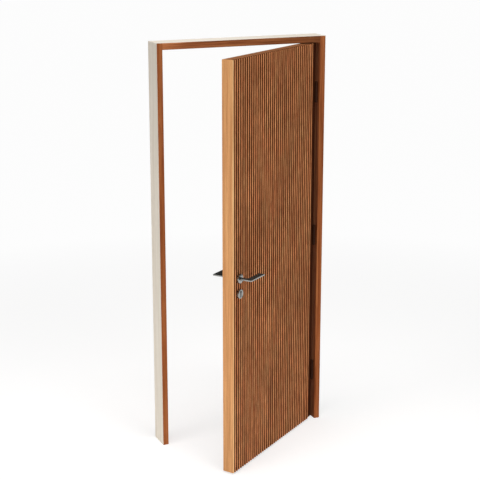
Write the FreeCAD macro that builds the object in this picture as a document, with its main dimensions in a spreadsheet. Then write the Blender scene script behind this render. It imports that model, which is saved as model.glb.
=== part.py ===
import FreeCAD, Part
import math
import os
import re
import Sketcher

# Wooden door: a slatted leaf hung in a flush jamb lining.
# Millimetres, +Z up. The origin is on the outer face of the hinge-side jamb,
# half way through the lining, at its foot. -Y is the side the leaf opens to.

sizes = {
    # Jamb lining
    "frame_width": 910,
    "frame_height": 2080,
    "frame_depth": 120,
    "jamb_face": 30,
    "head_face": 32,
    "frame_arris": 1.5,
    "stop_depth": 30,
    "stop_rise": 12,
    "seal_width": 8,
    "seal_depth": 3,
    "seal_bulge": 2,
    "seal_gap": 5,
    # Door leaf
    "leaf_gap": 5,
    "floor_gap": 7,
    "leaf_setback": 20,
    "slat_depth": 8,
    "backing_thickness": 4,
    "core_thickness": 46,
    "back_thickness": 4,
    "slat_width": 12,
    "groove_width": 8.3,
    "slat_arris": 1.2,
    "hinge_margin": 40,
    "lock_edge_width": 5,
    "lock_edge_chamfer": 4,
    "lock_edge_bevel": 2.7,
    "hinge_edge_width": 20,
    "rail_edge_width": 20,
    "open_angle": 36,
    # Butt hinges
    "hinge_height": 100,
    "hinge_depth": 35,
    "hinge_plate": 3,
    "hinge_web": 5,
    "knuckle_radius": 7,
    "knuckle_gap": 0.4,
    "knuckle_clearance": 1,
    "pin_radius": 3.5,
    "pin_clearance": 0.05,
    "pin_cap_radius": 5.5,
    "pin_cap_height": 4,
    "mortise_clearance": 0.3,
    "top_hinge_drop": 200,
    "bottom_hinge_rise": 220,
    # Lever handles and keyhole
    "handle_height": 1000,
    "handle_inset": 50,
    "rose_radius": 23,
    "rose_thickness": 12,
    "rose_chamfer": 1,
    "journal_radius": 8,
    "journal_inset": 2,
    "journal_clearance": 0.1,
    "collar_length": 6,
    "neck_width": 24,
    "lever_thickness": 7,
    "lever_reach": 76,
    "grip_width": 32,
    "grip_length": 118,
    "grip_bend_radius": 14,
    "lever_arris": 0.8,
    "spindle_side": 8,
    "spindle_hole_radius": 9,
    "keyhole_drop": 76,
    "cylinder_radius": 8.5,
    "cylinder_web": 10,
    "cylinder_height": 33,
    "cylinder_proud": 1,
    "cylinder_clearance": 0.2,
    "keyway_width": 2.5,
    "keyway_height": 9,
    "keyway_depth": 6,
    "cylinder_slot_margin": 1,
}

# Places worked out from the sizes, with the leaf closed
places = {
    "front": "-frame_depth / 2",
    "rear": "frame_depth / 2",
    "hinge_reveal": "-jamb_face",
    "lock_reveal": "jamb_face - frame_width",
    "head_underside": "frame_height - head_face",
    "leaf_hinge_x": "hinge_reveal - leaf_gap",
    "leaf_lock_x": "lock_reveal + leaf_gap",
    "leaf_width": "leaf_hinge_x - leaf_lock_x",
    "leaf_bottom": "floor_gap",
    "leaf_top": "head_underside - leaf_gap",
    "leaf_height": "leaf_top - leaf_bottom",
    "slat_front": "front + leaf_setback",
    "backing_front": "slat_front + slat_depth",
    "core_front": "backing_front + backing_thickness",
    "core_rear": "core_front + core_thickness",
    "leaf_rear": "core_rear + back_thickness",
    "core_lock_x": "leaf_lock_x + lock_edge_width",
    "core_hinge_x": "leaf_hinge_x - hinge_edge_width",
    "slat_pitch": "slat_width + groove_width",
    "slat_room": "leaf_width - lock_edge_width - hinge_margin",
    "slat_count": "floor(slat_room / slat_pitch)",
    "stop_front": "leaf_rear + seal_gap + seal_depth",
    "pivot_x": "hinge_reveal - knuckle_clearance - knuckle_radius",
    "pivot_y": "backing_front - knuckle_clearance - knuckle_radius",
    "plate_rear": "backing_front + hinge_depth",
    "handle_x": "leaf_lock_x + handle_inset",
    "keyhole_height": "handle_height - keyhole_drop",
}

doc = FreeCAD.newDocument("WoodenDoor")
sheet = doc.addObject("Spreadsheet::Sheet", "Sizes")
for row, (name, number) in enumerate(sizes.items(), start=1):
    sheet.set(f"A{row}", name)
    sheet.set(f"B{row}", str(number))
    sheet.setAlias(f"B{row}", name)
doc.recompute()


def formula(words):
    """Spell out the named places and point each size name at the sheet."""
    def spell(match):
        name = match.group(0)
        if name in places:
            return "(" + formula(places[name]) + ")"
        if name in sizes:
            return "Sizes." + name
        return name
    return re.sub(r"[a-z]+(_[a-z]+)*", spell, words)


def value(words):
    """The number that a formula in words comes to."""
    return float(sheet.evalExpression(formula(words)))


def new_body(label):
    body = doc.addObject("PartDesign::Body", label)
    body.Label = label
    return body


def new_sketch(body, role, shift=("0", "0", "0")):
    """A sketch on one of the body's origin planes, shifted in the plane's own axes."""
    plane = next(item for item in body.Origin.OriginFeatures if item.Role == role)
    sketch = body.newObject("Sketcher::SketchObject", body.Label + "_sketch")
    sketch.AttachmentSupport = [(plane, "")]
    sketch.MapMode = "FlatFace"
    for axis, words in zip("xyz", shift):
        sketch.setExpression(f"AttachmentOffset.Base.{axis}", formula(words))
    return sketch


def pin_point(sketch, index, place, point):
    """Hold one end of a sketch line at the place that two formulas give."""
    for kind, words in zip(("DistanceX", "DistanceY"), point):
        number = sketch.addConstraint(Sketcher.Constraint(kind, -1, 1, index, place, value(words)))
        sketch.setExpression(f"Constraints[{number}]", formula(words))


def outline(sketch, points, arcs=None):
    """A closed outline through the points. An arc is named by its first point: radius, then turn."""
    arcs = arcs or {}
    spots = [FreeCAD.Vector(value(along), value(across), 0) for along, across in points]
    count = len(points)
    for index in range(count):
        start, end = spots[index], spots[(index + 1) % count]
        if index in arcs:
            radius, turn = arcs[index]
            chord = end - start
            half = chord.Length / 2
            rise = math.sqrt(max(value(radius) ** 2 - half ** 2, 0))
            side = FreeCAD.Vector(-chord.y, chord.x, 0).normalize() * turn
            centre = (start + end) / 2 + side * rise
            first = math.atan2(start.y - centre.y, start.x - centre.x)
            last = math.atan2(end.y - centre.y, end.x - centre.x)
            ring = Part.Circle(centre, FreeCAD.Vector(0, 0, 1), value(radius))
            if turn > 0:
                sketch.addGeometry(Part.ArcOfCircle(ring, first, last))
            else:
                sketch.addGeometry(Part.ArcOfCircle(ring, last, first))
        else:
            sketch.addGeometry(Part.LineSegment(start, end))

    def ends(index):
        reverse = index in arcs and arcs[index][1] < 0
        return (2, 1) if reverse else (1, 2)

    for index in range(count):
        after = (index + 1) % count
        joint = Sketcher.Constraint("Coincident", index, ends(index)[1], after, ends(after)[0])
        sketch.addConstraint(joint)
    for index, point in enumerate(points):
        pin_point(sketch, index, ends(index)[0], point)
    for index, (radius, turn) in arcs.items():
        number = sketch.addConstraint(Sketcher.Constraint("Radius", index, value(radius)))
        sketch.setExpression(f"Constraints[{number}]", formula(radius))


def rectangle(sketch, left, right, low, high):
    outline(sketch, [(left, low), (right, low), (right, high), (left, high)])


def circle(sketch, centre, radius):
    spot = FreeCAD.Vector(value(centre[0]), value(centre[1]), 0)
    index = sketch.addGeometry(Part.Circle(spot, FreeCAD.Vector(0, 0, 1), value(radius)))
    pin_point(sketch, index, 3, centre)
    number = sketch.addConstraint(Sketcher.Constraint("Radius", index, value(radius)))
    sketch.setExpression(f"Constraints[{number}]", formula(radius))


def pad(body, sketch, length):
    feature = body.newObject("PartDesign::Pad", body.Label + "_pad")
    feature.Profile = sketch
    feature.setExpression("Length", formula(length))
    return feature


def pocket(body, sketch, length, backwards=False):
    """A cut of the given length, compared with the volume before it so that an idle cut shows."""
    doc.recompute()
    before = body.Shape.Volume
    feature = body.newObject("PartDesign::Pocket", body.Label + "_pocket")
    feature.Profile = sketch
    feature.setExpression("Length", formula(length))
    feature.Reversed = backwards
    doc.recompute()
    if body.Shape.Volume >= before - 1:
        raise RuntimeError(body.Label + ": a pocket cuts nothing")
    return feature


def revolve(body, sketch):
    feature = body.newObject("PartDesign::Revolution", body.Label + "_revolution")
    feature.Profile = sketch
    feature.ReferenceAxis = (sketch, ["V_Axis"])
    feature.Angle = 360
    return feature


def bar(label, left, right, near, far, low, height):
    """A straight bar or sheet: a rectangle seen from above, padded upwards."""
    return upright(label, [(left, near), (right, near), (right, far), (left, far)], low, height)


def upright(label, section, low, height, arcs=None):
    """A bar with any section seen from above, padded upwards."""
    body = new_body(label)
    sketch = new_sketch(body, "XY_Plane", ("0", "0", low))
    outline(sketch, section, arcs)
    pad(body, sketch, height)
    return body


def crossbar(label, section, left, right, arcs=None):
    """A level bar. Its section is drawn as an upright's and turned on its side."""
    body = new_body(label)
    sketch = new_sketch(body, "YZ_Plane", ("0", "0", left))
    outline(sketch, [(across, along) for along, across in section], arcs)
    pad(body, sketch, f"{right} - ({left})")
    return body


def through_leaf(body, draw, near, depth):
    """A hole through a layer of the leaf, from its near side inwards."""
    sketch = new_sketch(body, "XZ_Plane", ("0", "0", f"-({near})"))
    draw(sketch)
    pocket(body, sketch, depth)


hinge_rises = {
    "bottom": "leaf_bottom + bottom_hinge_rise",
    "middle": "(leaf_bottom + bottom_hinge_rise + leaf_top - top_hinge_drop - hinge_height) / 2",
    "top": "leaf_top - top_hinge_drop - hinge_height",
}


# Jamb lining

def lining_section(outer, reveal, sign):
    """A lining board from its outer face to the reveal, with its two open arrises eased."""
    eased = f"{reveal} {sign} frame_arris"
    return [
        (outer, "front"),
        (eased, "front"),
        (reveal, "front + frame_arris"),
        (reveal, "rear - frame_arris"),
        (eased, "rear"),
        (outer, "rear"),
    ]


def stop_section(reveal, sign):
    """A stop planted on the reveal, with its two open arrises eased."""
    tip = f"{reveal} {sign} stop_rise"
    eased = f"{reveal} {sign} (stop_rise - frame_arris)"
    back = "stop_front + stop_depth"
    return [
        (reveal, "stop_front"),
        (eased, "stop_front"),
        (tip, "stop_front + frame_arris"),
        (tip, f"{back} - frame_arris"),
        (eased, back),
        (reveal, back),
    ]


def seal_section(reveal, sign):
    """A seal with a flat foot on the stop and a round face towards the leaf."""
    edge = f"{reveal} {sign} seal_width"
    shoulder = "stop_front - (seal_depth - seal_bulge)"
    return [(reveal, "stop_front"), (reveal, shoulder), (edge, shoulder), (edge, "stop_front")]


def make_jamb_hinge_side():
    """The jamb that carries the leaf, with a mortise for each hinge plate."""
    body = upright("jamb_hinge_side", lining_section("0", "hinge_reveal", "+"), "0", "frame_height")
    for rise in hinge_rises.values():
        top = f"{rise} + hinge_height + mortise_clearance"
        sketch = new_sketch(body, "XY_Plane", ("0", "0", top))
        rectangle(sketch, "hinge_reveal", "hinge_reveal + hinge_plate",
                  "pivot_y - mortise_clearance", "plate_rear + mortise_clearance")
        pocket(body, sketch, "hinge_height + 2 * mortise_clearance")
    return body


def make_frame():
    make_jamb_hinge_side()
    upright("jamb_lock_side", lining_section("-frame_width", "lock_reveal", "-"), "0", "frame_height")
    crossbar("frame_head", lining_section("frame_height", "head_underside", "+"),
             "lock_reveal", "hinge_reveal")

    upright("stop_hinge_side", stop_section("hinge_reveal", "-"), "0", "head_underside")
    upright("stop_lock_side", stop_section("lock_reveal", "+"), "0", "head_underside")
    crossbar("stop_head", stop_section("head_underside", "-"),
             "lock_reveal + stop_rise", "hinge_reveal - stop_rise")

    half_width = "seal_width / 2"
    bulge_radius = f"({half_width} * {half_width} + seal_bulge * seal_bulge) / (2 * seal_bulge)"
    upright("seal_hinge_side", seal_section("hinge_reveal", "-"), "0", "head_underside",
            arcs={1: (bulge_radius, -1)})
    upright("seal_lock_side", seal_section("lock_reveal", "+"), "0", "head_underside",
            arcs={1: (bulge_radius, 1)})
    crossbar("seal_head", seal_section("head_underside", "-"),
             "lock_reveal + seal_width", "hinge_reveal - seal_width", arcs={1: (bulge_radius, 1)})


# Door leaf

def spindle_hole(sketch):
    circle(sketch, ("handle_x", "handle_height"), "spindle_hole_radius")


def cylinder_hole(sketch):
    """A slot with room for the lock cylinder, hidden behind the keyhole roses."""
    half_width = "cylinder_radius + cylinder_slot_margin"
    half_height = "cylinder_height / 2 + cylinder_slot_margin"
    rectangle(sketch, f"handle_x - ({half_width})", f"handle_x + {half_width}",
              f"keyhole_height - ({half_height})", f"keyhole_height + {half_height}")


def make_leaf_sheet(label, near, thickness, low="leaf_bottom", height="leaf_height"):
    """One layer of the leaf between its two long edges."""
    return bar(label, "core_lock_x", "core_hinge_x", near, f"{near} + {thickness}", low, height)


def bore_for_lock(body, near, depth):
    """Holes for the handles' spindle and the lock cylinder, all behind the roses."""
    through_leaf(body, spindle_hole, near, depth)
    through_leaf(body, cylinder_hole, near, depth)
    return body


def make_slatted_front():
    """A thin backing with upright slats, their front arrises eased."""
    body = make_leaf_sheet("slatted_front", "backing_front", "backing_thickness")
    sketch = new_sketch(body, "XY_Plane", ("0", "0", "leaf_bottom"))
    left = "core_lock_x + groove_width"
    right = f"{left} + slat_width"
    points = [
        (left, "backing_front"),
        (left, "slat_front + slat_arris"),
        (f"{left} + slat_arris", "slat_front"),
        (f"{right} - slat_arris", "slat_front"),
        (right, "slat_front + slat_arris"),
        (right, "backing_front"),
    ]
    outline(sketch, points)
    slat = pad(body, sketch, "leaf_height")
    doc.recompute()
    slats = body.newObject("PartDesign::LinearPattern", "slats")
    slats.Originals = [slat]
    slats.Direction = (sketch, ["H_Axis"])
    slats.setExpression("Length", formula("(slat_count - 1) * slat_pitch"))
    slats.setExpression("Occurrences", formula("slat_count"))
    body.Tip = slats
    return bore_for_lock(body, "slat_front", "slat_depth + backing_thickness")


def make_lock_edge():
    """The long edge by the handles: full depth, chamfered in front and bevelled to clear the jamb."""
    body = new_body("lock_edge")
    sketch = new_sketch(body, "XY_Plane", ("0", "0", "leaf_bottom"))
    outline(sketch, [
        ("leaf_lock_x + lock_edge_chamfer", "slat_front"),
        ("core_lock_x", "slat_front"),
        ("core_lock_x", "leaf_rear"),
        ("leaf_lock_x + lock_edge_bevel", "leaf_rear"),
        ("leaf_lock_x", "slat_front + lock_edge_chamfer"),
    ])
    pad(body, sketch, "leaf_height")
    return body


def make_hinge_edge():
    """The long edge by the hinges, with a mortise for each hinge plate."""
    body = bar("hinge_edge", "core_hinge_x", "leaf_hinge_x", "backing_front", "leaf_rear",
               "leaf_bottom", "leaf_height")
    for rise in hinge_rises.values():
        top = f"{rise} + hinge_height + mortise_clearance"
        sketch = new_sketch(body, "XY_Plane", ("0", "0", top))
        rectangle(sketch, "leaf_hinge_x - hinge_plate", "leaf_hinge_x",
                  "backing_front", "plate_rear + mortise_clearance")
        pocket(body, sketch, "hinge_height + 2 * mortise_clearance")
    return body


def make_leaf():
    rails_between = "leaf_height - 2 * rail_edge_width"
    core = make_leaf_sheet("door_core", "core_front", "core_thickness",
                           "leaf_bottom + rail_edge_width", rails_between)
    back = make_leaf_sheet("back_panel", "core_rear", "back_thickness")
    return [
        bore_for_lock(core, "core_front", "core_thickness"),
        make_slatted_front(),
        bore_for_lock(back, "core_rear", "back_thickness"),
        make_lock_edge(),
        make_hinge_edge(),
        bar("top_edge", "core_lock_x", "core_hinge_x", "core_front", "core_rear",
            "leaf_top - rail_edge_width", "rail_edge_width"),
        bar("bottom_edge", "core_lock_x", "core_hinge_x", "core_front", "core_rear",
            "leaf_bottom", "rail_edge_width"),
    ]


# Butt hinges

knuckle_count = 5


def add_knuckle(body, low, height):
    """One barrel of the hinge round the pin."""
    sketch = new_sketch(body, "XY_Plane", ("0", "0", low))
    circle(sketch, ("pivot_x", "pivot_y"), "knuckle_radius")
    pad(body, sketch, height)


def bore_knuckles(body, rise):
    sketch = new_sketch(body, "XY_Plane", ("0", "0", f"{rise} + hinge_height"))
    circle(sketch, ("pivot_x", "pivot_y"), "pin_radius + pin_clearance")
    pocket(body, sketch, "hinge_height")


def make_hinge(place, rise):
    """A butt hinge: barrels in turn on the jamb plate and the door plate, and a pin through them."""
    step = f"(hinge_height / {knuckle_count})"
    jamb_plate = bar(f"hinge_{place}_jamb_plate", "hinge_reveal", "hinge_reveal + hinge_plate",
                     "pivot_y", "plate_rear", rise, "hinge_height")
    door_plate = bar(f"hinge_{place}_door_plate", "leaf_hinge_x - hinge_plate", "leaf_hinge_x",
                     "backing_front", "plate_rear", rise, "hinge_height")
    for number in range(knuckle_count):
        low = f"{rise} + {number} * {step}"
        if number % 2:
            sketch = new_sketch(door_plate, "XY_Plane", ("0", "0", low))
            rectangle(sketch, "leaf_hinge_x - hinge_plate", "leaf_hinge_x", "pivot_y", "backing_front")
            pad(door_plate, sketch, step)
            add_knuckle(door_plate, low, step)
            continue
        under = "0" if number == 0 else "knuckle_gap"
        over = "0" if number == knuckle_count - 1 else "knuckle_gap"
        height = f"{step} - {under} - {over}"
        sketch = new_sketch(jamb_plate, "XY_Plane", ("0", "0", f"{low} + {under}"))
        rectangle(sketch, "pivot_x", "hinge_reveal + hinge_plate", "pivot_y", "pivot_y + hinge_web")
        pad(jamb_plate, sketch, height)
        add_knuckle(jamb_plate, f"{low} + {under}", height)
    bore_knuckles(jamb_plate, rise)
    bore_knuckles(door_plate, rise)

    pin = new_body(f"hinge_{place}_pin")
    sketch = new_sketch(pin, "XZ_Plane", ("pivot_x", rise, "-(pivot_y)"))
    outline(sketch, [
        ("0", "-pin_cap_height"),
        ("pin_cap_radius", "-pin_cap_height"),
        ("pin_cap_radius", "0"),
        ("pin_radius", "0"),
        ("pin_radius", "hinge_height"),
        ("pin_cap_radius", "hinge_height"),
        ("pin_cap_radius", "hinge_height + pin_cap_height"),
        ("0", "hinge_height + pin_cap_height"),
    ])
    revolve(pin, sketch)
    return door_plate


# Lever handles, keyhole roses and lock cylinder. Outwards is -1 in front and +1 behind.

def outward(face, outwards, distance):
    return f"{face} {'-' if outwards < 0 else '+'} ({distance})"


def make_rose(label, face, outwards, height, bore):
    """A round rose with a chamfered rim, turned about the line through its own centre."""
    body = new_body(label)
    sketch = new_sketch(body, "XY_Plane", ("handle_x", face, height))
    sign = "-" if outwards < 0 else ""
    points = [
        (bore, "0"),
        ("rose_radius", "0"),
        ("rose_radius", f"{sign}(rose_thickness - rose_chamfer)"),
        ("rose_radius - rose_chamfer", f"{sign}rose_thickness"),
        (bore, f"{sign}rose_thickness"),
    ]
    outline(sketch, points)
    revolve(body, sketch)
    return body


def cylinder_profile(sketch, clearance):
    """The outline of the lock cylinder seen from in front: a round top over a narrower web."""
    round_centre = "keyhole_height + cylinder_height / 2 - cylinder_radius"
    circle(sketch, ("handle_x", round_centre), f"cylinder_radius + {clearance}")


def web_profile(sketch, clearance):
    round_centre = "keyhole_height + cylinder_height / 2 - cylinder_radius"
    half = f"(cylinder_web / 2 + {clearance})"
    rectangle(sketch, f"handle_x - {half}", f"handle_x + {half}",
              f"keyhole_height - cylinder_height / 2 - {clearance}", round_centre)


def make_keyhole_rose(label, face, outwards):
    body = make_rose(label, face, outwards, "keyhole_height", "0")
    far = face if outwards < 0 else f"{face} + rose_thickness"
    for profile in (cylinder_profile, web_profile):
        sketch = new_sketch(body, "XZ_Plane", ("0", "0", f"-({far})"))
        profile(sketch, "cylinder_clearance")
        pocket(body, sketch, "rose_thickness", backwards=True)
    return body


def make_lock_cylinder():
    """The lock cylinder, through the leaf, with a keyway at each end."""
    body = new_body("lock_cylinder")
    proud = "rose_thickness + cylinder_proud"
    length = f"leaf_rear - slat_front + 2 * ({proud})"
    for profile in (cylinder_profile, web_profile):
        sketch = new_sketch(body, "XZ_Plane", ("0", "0", f"-(leaf_rear + {proud})"))
        profile(sketch, "0")
        pad(body, sketch, length)
    round_centre = "keyhole_height + cylinder_height / 2 - cylinder_radius"
    for far in (f"leaf_rear + {proud}", f"slat_front - ({proud}) + keyway_depth"):
        sketch = new_sketch(body, "XZ_Plane", ("0", "0", f"-({far})"))
        rectangle(sketch, "handle_x - keyway_width / 2", "handle_x + keyway_width / 2",
                  f"{round_centre} - keyway_height / 2", f"{round_centre} + keyway_height / 2")
        pocket(body, sketch, "keyway_depth", backwards=True)
    return body


def ease_level_edges(body, plate, width):
    """Chamfer the edges round the top and the bottom of a level plate."""
    doc.recompute()
    names = []
    for number, edge in enumerate(plate.Shape.Edges, start=1):
        if edge.BoundBox.ZLength < 0.001:
            names.append(f"Edge{number}")
    chamfer = body.newObject("PartDesign::Chamfer", body.Label + "_arris")
    chamfer.Base = (plate, names)
    chamfer.setExpression("Size", formula(width))
    body.Tip = chamfer


def make_lever(label, face, outwards):
    """A flat lever: a round journal in the rose, a short neck, and a grip square to it."""
    body = new_body(label)
    plan = new_sketch(body, "XY_Plane", ("0", "0", "handle_height - lever_thickness / 2"))
    start = outward(face, outwards, "rose_thickness + collar_length / 2")
    reach = outward(face, outwards, "lever_reach")
    inner = outward(face, outwards, "lever_reach - grip_width")
    bend = outward(face, outwards, "lever_reach - grip_width - grip_bend_radius")
    left = "handle_x - neck_width / 2"
    right = "handle_x + neck_width / 2"
    points = [
        (left, start),
        (left, reach),
        ("handle_x + grip_length", reach),
        ("handle_x + grip_length", inner),
        (f"{right} + grip_bend_radius", inner),
        (right, bend),
        (right, start),
    ]
    outline(plan, points, arcs={4: ("grip_bend_radius", outwards)})
    ease_level_edges(body, pad(body, plan, "lever_thickness"), "lever_arris")

    near = "journal_inset" if outwards < 0 else "rose_thickness + collar_length"
    journal = new_sketch(body, "XZ_Plane", ("0", "0", f"-({outward(face, outwards, near)})"))
    circle(journal, ("handle_x", "handle_height"), "journal_radius")
    pad(body, journal, "rose_thickness + collar_length - journal_inset")
    return body


def make_spindle():
    body = new_body("spindle")
    far = "leaf_rear + journal_inset"
    sketch = new_sketch(body, "XZ_Plane", ("0", "0", f"-({far})"))
    rectangle(sketch, "handle_x - spindle_side / 2", "handle_x + spindle_side / 2",
              "handle_height - spindle_side / 2", "handle_height + spindle_side / 2")
    pad(body, sketch, "leaf_rear - slat_front + 2 * journal_inset")
    return body


def make_furniture():
    bore = "journal_radius + journal_clearance"
    return [
        make_rose("rose_front", "slat_front", -1, "handle_height", bore),
        make_rose("rose_back", "leaf_rear", 1, "handle_height", bore),
        make_keyhole_rose("keyhole_rose_front", "slat_front", -1),
        make_keyhole_rose("keyhole_rose_back", "leaf_rear", 1),
        make_lock_cylinder(),
        make_lever("lever_front", "slat_front", -1),
        make_lever("lever_back", "leaf_rear", 1),
        make_spindle(),
    ]


make_frame()
swinging = make_leaf() + make_furniture()
for place, rise in hinge_rises.items():
    swinging.append(make_hinge(place, rise))

# What swings stands open as in daily use, turned about the line of the hinge pins
pivot = FreeCAD.Vector(value("pivot_x"), value("pivot_y"), 0)
turn = FreeCAD.Rotation(FreeCAD.Vector(0, 0, 1), value("open_angle"))
for body in swinging:
    body.Placement = FreeCAD.Placement(FreeCAD.Vector(0, 0, 0), turn, pivot)

doc.recompute()
bodies = [item for item in doc.Objects if item.TypeId == "PartDesign::Body"]
for item in doc.Objects:
    if "Invalid" in item.State or "Error" in item.State:
        raise RuntimeError(item.Label + ": " + str(item.State))
for body in bodies:
    if body.Shape.isNull() or not body.Shape.isValid():
        raise RuntimeError(body.Label + ": its shape is not valid")

os.makedirs("parts", exist_ok=True)
for body in bodies:
    body.Shape.exportStep(f"parts/{body.Label}.step")
    print(f"{body.Label}: {len(body.Shape.Solids)} solid, {body.Shape.Volume / 1000:.1f} cm3")
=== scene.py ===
import math

import bmesh
import bpy
import numpy as np
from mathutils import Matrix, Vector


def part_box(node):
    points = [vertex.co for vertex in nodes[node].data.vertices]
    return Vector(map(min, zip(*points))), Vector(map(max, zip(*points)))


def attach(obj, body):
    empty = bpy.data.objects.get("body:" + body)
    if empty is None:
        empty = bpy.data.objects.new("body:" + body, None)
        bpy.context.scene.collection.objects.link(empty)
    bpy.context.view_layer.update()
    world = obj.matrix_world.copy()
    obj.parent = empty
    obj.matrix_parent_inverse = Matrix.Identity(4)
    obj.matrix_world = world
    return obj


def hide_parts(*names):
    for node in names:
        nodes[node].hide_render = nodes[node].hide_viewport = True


# A wooden door with a slatted face, ajar in its jamb frame. Metres throughout.
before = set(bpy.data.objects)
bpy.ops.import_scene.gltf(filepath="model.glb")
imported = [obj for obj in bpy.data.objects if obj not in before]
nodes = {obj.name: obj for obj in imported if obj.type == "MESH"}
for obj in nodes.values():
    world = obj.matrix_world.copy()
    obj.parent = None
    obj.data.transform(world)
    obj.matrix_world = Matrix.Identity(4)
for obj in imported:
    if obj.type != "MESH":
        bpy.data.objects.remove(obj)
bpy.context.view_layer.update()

# The leaf with its depths front to back, and the line of the hinge pins that it has turned about
leafPlan = {
    "hingeLineX": -0.038,
    "hingeLineY": -0.040,
    "openDegrees": 36.0,
    "lockEdgeX": -0.875,     # long edge by the handles, with the leaf shut
    "lockEdgeWidth": 0.005,
    "hingeEdgeX": -0.035,
    "hingeEdgeWidth": 0.020,
    "bottom": 0.007,
    "top": 2.043,
    "slatFront": -0.040,
    "backingFront": -0.032,
    "coreFront": -0.028,
    "leafRear": 0.022,
    "handleX": -0.825,
    "handleZ": 1.000,
    "keyholeZ": 0.924,
}
openAngle = math.radians(leafPlan["openDegrees"])


def turnWithLeaf(points):
    # shut leaf to open leaf: p' = h + R(p - h), h the hinge line and R the turn about Z
    hinge = np.array([leafPlan["hingeLineX"], leafPlan["hingeLineY"], 0.0])
    c, s = math.cos(openAngle), math.sin(openAngle)
    turn = np.array([[c, -s, 0.0], [s, c, 0.0], [0.0, 0.0, 1.0]])
    return (np.asarray(points, float) - hinge) @ turn.T + hinge


# Surfaces from grids of points
def gridFaces(rows, columns, closeRows=False):
    # quads between neighbouring rows; the columns run all the way round
    row = np.arange(rows if closeRows else rows - 1)[:, None]
    column = np.arange(columns)[None, :]
    nextRow = (row + 1) % rows
    nextColumn = (column + 1) % columns
    corners = (row * columns + column, row * columns + nextColumn,
               nextRow * columns + nextColumn, nextRow * columns + column)
    return np.stack(np.broadcast_arrays(*corners), axis=-1).reshape(-1, 4).tolist()


def cappedFaces(rows, columns):
    # a tube of quads with one flat face over each end
    last = (rows - 1) * columns
    return gridFaces(rows, columns) + [list(range(columns))[::-1], list(range(last, last + columns))]


def joinShells(shells):
    # several (points, faces) in one mesh, each one's faces counted on from the last
    points, faces, start = [], [], 0
    for shellPoints, shellFaces in shells:
        points.append(np.asarray(shellPoints, float).reshape(-1, 3))
        faces += [[start + index for index in face] for face in shellFaces]
        start += len(points[-1])
    return np.concatenate(points), faces


def roundedOutline(corners, radii, steps):
    # each corner gives way to an arc that touches both its sides: centre + r (cos a, sin a)
    corners = np.array(corners, float)
    lastOnes, nextOnes = np.roll(corners, 1, 0), np.roll(corners, -1, 0)
    pieces = []
    for corner, before, after, radius in zip(corners, lastOnes, nextOnes, radii):
        back = (before - corner) / np.linalg.norm(before - corner)
        ahead = (after - corner) / np.linalg.norm(after - corner)
        half = math.acos(float(np.clip(back @ ahead, -1, 1))) / 2
        centre = corner + (back + ahead) / np.linalg.norm(back + ahead) * radius / math.sin(half)
        start = corner + back * radius / math.tan(half) - centre
        end = corner + ahead * radius / math.tan(half) - centre
        first = math.atan2(start[1], start[0])
        sweep = (math.atan2(end[1], end[0]) - first + math.pi) % (2 * math.pi) - math.pi
        angle = first + sweep * np.linspace(0, 1, steps + 1)
        pieces.append(centre + radius * np.stack([np.cos(angle), np.sin(angle)], axis=1))
    return np.concatenate(pieces)


def roundedSlab(outline, low, high, radius, steps=3):
    # outline carried up Z: p(s, a) = outline(s) - n(s) r (1 - cos a), z = end -+ r (1 - sin a)
    outline = np.asarray(outline, float)
    along = np.roll(outline, -1, axis=0) - np.roll(outline, 1, axis=0)
    normal = np.stack([along[:, 1], -along[:, 0]], axis=1)
    ahead = np.roll(outline, -1, axis=0)
    area = np.sum(outline[:, 0] * ahead[:, 1] - outline[:, 1] * ahead[:, 0])
    normal *= np.sign(area) / np.linalg.norm(normal, axis=1, keepdims=True)
    angle = np.linspace(0, math.pi / 2, steps + 1)
    inset = radius * (1 - np.sin(angle))
    rise = radius * (1 - np.cos(angle))
    insets = np.concatenate([inset, inset[::-1]])
    heights = np.concatenate([low + rise, high - rise[::-1]])
    flat = outline[None] - normal[None] * insets[:, None, None]
    level = np.broadcast_to(heights[:, None, None], flat.shape[:2] + (1,))
    return np.concatenate([flat, level], axis=2).reshape(-1, 3), cappedFaces(len(insets), len(outline))


def turnedRing(profile, innerRadius, outerRadius, angles, centreX, centreZ, face, outwards):
    # ring about a level line: radius = inner(a) (1 - f) + outer f + o, depth d, for each (f, o, d)
    share, offset, depth = np.array(profile, float).T[:, :, None]
    radius = innerRadius[None] * (1 - share) + outerRadius * share + offset
    across = centreX + radius * np.cos(angles)[None]
    rise = centreZ + radius * np.sin(angles)[None]
    out = np.broadcast_to(face + outwards * depth, radius.shape)
    points = np.stack([across, out, rise], axis=-1).reshape(-1, 3)
    return points, gridFaces(len(profile), len(angles), closeRows=True)


def turnedPin(profile, steps, centreX, centreZ, face, outwards):
    # solid about a level line with flat ends: p = centre + r (cos a, sin a), depth d, for each (r, d)
    radius, depth = np.array(profile, float).T[:, :, None]
    angle = np.arange(steps)[None] * 2 * math.pi / steps
    out = np.broadcast_to(face + outwards * depth, (len(profile), steps))
    points = np.stack([centreX + radius * np.cos(angle), out, centreZ + radius * np.sin(angle)], axis=-1)
    return points.reshape(-1, 3), cappedFaces(len(profile), steps)


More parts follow.
